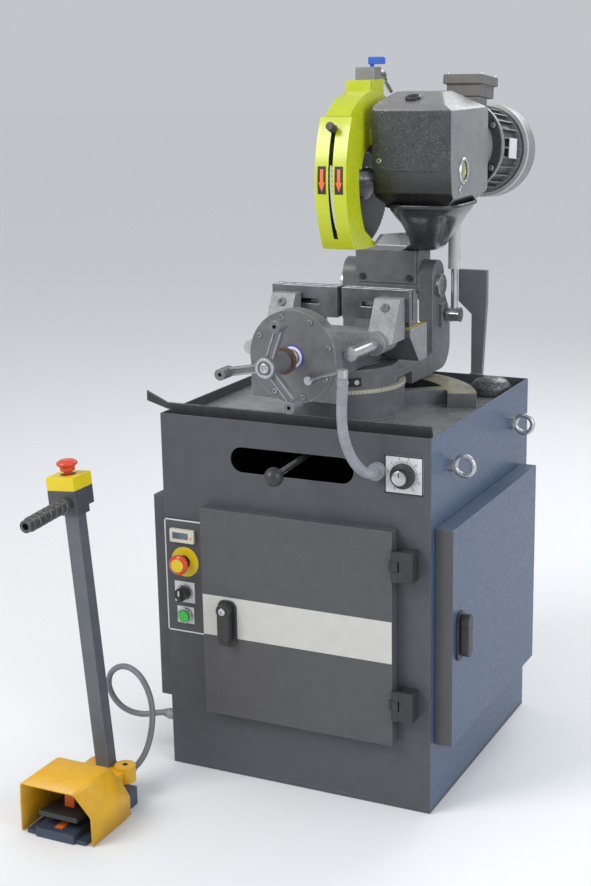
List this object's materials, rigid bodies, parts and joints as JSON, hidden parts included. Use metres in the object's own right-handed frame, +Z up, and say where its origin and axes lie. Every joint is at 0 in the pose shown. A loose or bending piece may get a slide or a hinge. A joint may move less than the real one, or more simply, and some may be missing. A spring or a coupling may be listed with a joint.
{
  "type": "cold saw",
  "caption": "Vertical circular cold saw on a sheet-metal cabinet, with a tilting and swivelling head, a vise with a handwheel, doors and a foot pedal stand on a cable.",
  "frame": {"origin": "middle of the cabinet's base plate, on the floor", "axes": "+X to the operator's right, +Y to the back, +Z up; the front faces -Y"},
  "size_m": [0.7579, 1.1347, 1.368],
  "materials": {
    "cabinet_paint": "satin textured powder coat",
    "tray_paint": "satin powder coat, worn",
    "black_plastic": "fine grain",
    "zinc_steel": "zinc plated",
    "grey_hose": "ribbed or smooth grey",
    "casting": "hammered grey paint",
    "gear_paint": "hammered charcoal paint",
    "ram_white": "gloss",
    "motor_black": "black paint",
    "terminal_grey": "fine grain",
    "guard_lime": "gloss",
    "coolant_metal": "machined",
    "valve_blue": "gloss",
    "machined_steel": "ground",
    "bronze": "machined",
    "stop_red": "gloss",
    "start_green": "gloss",
    "pedal_yellow": "satin",
    "pedal_dark": "satin",
    "column_paint": "satin powder coat"
  },
  "bodies": {
    "base": {"base_plate": "cabinet_paint", "front_panel": "cabinet_paint", "cabinet_shell": "cabinet_paint", "chip_tray": "tray_paint", "tray_lip": "tray_paint", "strainer": "black_plastic", "left_cover": "cabinet_paint", "eyebolts": "zinc_steel", "control_panel": "black_plastic", "hose_fittings": "grey_hose", "base_casting": "casting", "vise_body": "casting", "vise_cylinder": "casting", "vise_hose": "grey_hose", "hose_post": "cabinet_paint", "pedal_base": "pedal_dark", "pedal_hood": "pedal_yellow", "pedal_housing": "pedal_yellow", "pedal_column": "column_paint", "stop_box": "pedal_dark", "stop_box_lid": "pedal_yellow", "column_grip": "black_plastic", "pedal_cable": "grey_hose"},
    "turntable": {"swivel_yoke": "casting", "pivot_pin": "zinc_steel"},
    "lock_lever": {"lock_lever": "black_plastic"},
    "ram_barrel": {"ram_barrel": "ram_white"},
    "ram_rod": {"ram_rod": "zinc_steel"},
    "head": {"head_arm": "casting", "head_neck": "gear_paint", "gearbox": "gear_paint", "motor_body": "motor_black", "fan_cowl": "motor_black", "terminal_box": "terminal_grey", "blade_guard": "guard_lime", "guard_knob": "black_plastic", "coolant_block": "coolant_metal"},
    "guard_cover": {"guard_cover": "guard_lime"},
    "blade": {"blade": "machined_steel", "spindle": "machined_steel", "worm_wheel": "bronze"},
    "rotor": {"motor_shaft": "machined_steel"},
    "valve_lever": {"valve_lever": "valve_blue"},
    "carriage": {"jaw_carriage": "casting"},
    "front_jaw_left": {"front_jaw_left": "machined_steel"},
    "front_jaw_right": {"front_jaw_right": "machined_steel"},
    "rear_jaw_left": {"rear_jaw_left": "machined_steel"},
    "rear_jaw_right": {"rear_jaw_right": "machined_steel"},
    "screw": {"vise_screw": "machined_steel", "handwheel": "casting"},
    "front_door": {"front_door": "cabinet_paint"},
    "front_latch": {"front_door_handle": "black_plastic"},
    "right_door": {"right_door": "cabinet_paint"},
    "right_latch": {"right_door_handle": "black_plastic"},
    "panel_stop": {"panel_stop": "stop_red"},
    "mode_selector": {"mode_selector": "black_plastic"},
    "start_button": {"start_button": "start_green"},
    "feed_dial": {"feed_dial": "black_plastic"},
    "pedal_treadle": {"pedal_treadle": "black_plastic"},
    "column_stop": {"column_stop": "stop_red"}
  },
  "joints": [
    {"name": "front_door_swing", "type": "hinge", "parent": "base", "child": "front_door", "pos_m": [0.2173, -0.303, 0.34], "axis": [0, 0, 1], "range_deg": [0, 115]},
    {"name": "front_latch_turn", "type": "hinge", "parent": "front_door", "child": "front_latch", "pos_m": [-0.128, -0.3, 0.356], "axis": [0, -1, 0], "range_deg": [0, 90]},
    {"name": "right_door_swing", "type": "hinge", "parent": "base", "child": "right_door", "pos_m": [0.291, 0.2373, 0.34], "axis": [0, 0, 1], "range_deg": [0, 95]},
    {"name": "right_latch_turn", "type": "hinge", "parent": "right_door", "child": "right_latch", "pos_m": [0.31, -0.219, 0.369], "axis": [1, 0, 0], "range_deg": [0, 90]},
    {"name": "lock_lever_turn", "type": "hinge", "parent": "base", "child": "lock_lever", "pos_m": [0, -0.03, 0.655], "axis": [0, 0, 1], "range_deg": [-28, 21]},
    {"name": "swivel", "type": "hinge", "parent": "base", "child": "turntable", "pos_m": [0, -0.03, 0.77], "axis": [0, 0, 1], "range_deg": [-45, 45]},
    {"name": "head_tilt", "type": "hinge", "parent": "turntable", "child": "head", "pos_m": [0, 0.2165, 0.913], "axis": [1, 0, 0], "range_deg": [0, 34.5]},
    {"name": "ram_swing", "type": "hinge", "parent": "turntable", "child": "ram_rod", "pos_m": [0.126, 0.24, 0.85], "axis": [1, 0, 0], "range_deg": [0, 24.2]},
    {"name": "ram_stroke", "type": "slide", "parent": "ram_rod", "child": "ram_barrel", "axis": [0, 0, 1], "range_m": [0, 0.0065]},
    {"name": "cover_lift", "type": "hinge", "parent": "head", "child": "guard_cover", "pos_m": [0, 0.164, 1.14], "axis": [1, 0, 0], "range_deg": [-40, 0]},
    {"name": "rotor_spin", "type": "hinge", "parent": "head", "child": "rotor", "pos_m": [0.125, 0.06679, 1.20964], "axis": [0, 0.9945, -0.1045], "continuous": true},
    {"name": "blade_spin", "type": "hinge", "parent": "head", "child": "blade", "pos_m": [0, 0.06, 1.145], "axis": [1, 0, 0], "continuous": true},
    {"name": "valve_turn", "type": "hinge", "parent": "head", "child": "valve_lever", "pos_m": [0.008, 0.095, 1.355], "axis": [0, 0, 1], "range_deg": [0, 90]},
    {"name": "vise_slide", "type": "slide", "parent": "base", "child": "carriage", "axis": [0, -1, 0], "range_m": [-0.005, 0.1]},
    {"name": "screw_turn", "type": "hinge", "parent": "carriage", "child": "screw", "pos_m": [0, -0.3, 0.844], "axis": [0, 1, 0], "range_deg": [-178, 3598]},
    {"name": "front_jaw_left_slide", "type": "slide", "parent": "carriage", "child": "front_jaw_left", "axis": [-1, 0, 0], "range_m": [0, 0.05]},
    {"name": "front_jaw_right_slide", "type": "slide", "parent": "carriage", "child": "front_jaw_right", "axis": [1, 0, 0], "range_m": [0, 0.05]},
    {"name": "rear_jaw_left_slide", "type": "slide", "parent": "base", "child": "rear_jaw_left", "axis": [-1, 0, 0], "range_m": [0, 0.065]},
    {"name": "rear_jaw_right_slide", "type": "slide", "parent": "base", "child": "rear_jaw_right", "axis": [1, 0, 0], "range_m": [0, 0.065]},
    {"name": "panel_stop_press", "type": "slide", "parent": "base", "child": "panel_stop", "axis": [0, 1, 0], "range_m": [0, 0.006]},
    {"name": "mode_turn", "type": "hinge", "parent": "base", "child": "mode_selector", "pos_m": [-0.2325, -0.285, 0.367], "axis": [0, 1, 0], "range_deg": [-45, 45]},
    {"name": "start_press", "type": "slide", "parent": "base", "child": "start_button", "axis": [0, 1, 0], "range_m": [0, 0.004], "stiffness_N_per_m": 400},
    {"name": "feed_dial_turn", "type": "hinge", "parent": "base", "child": "feed_dial", "pos_m": [0.224, -0.285, 0.649], "axis": [0, 1, 0], "range_deg": [0, 270]},
    {"name": "pedal_press", "type": "hinge", "parent": "base", "child": "pedal_treadle", "pos_m": [-0.31, -0.512, 0.03], "axis": [1, 0, 0], "range_deg": [0, 8], "stiffness_Nm_per_rad": 6, "springref_deg": -20.05},
    {"name": "column_stop_press", "type": "slide", "parent": "base", "child": "column_stop", "axis": [0.0785, 0, -0.9969], "range_m": [0, 0.006]}
  ],
  "couplings": [
    {"joint": "ram_swing", "follows": "head_tilt", "ratio": 0.692},
    {"joint": "ram_stroke", "follows": "head_tilt", "m_per_rad": 0.01024},
    {"joint": "cover_lift", "follows": "head_tilt", "ratio": -1.15},
    {"joint": "blade_spin", "follows": "rotor_spin", "ratio": 0.025},
    {"joint": "vise_slide", "follows": "screw_turn", "m_per_rad": 0.0015915}
  ]
}
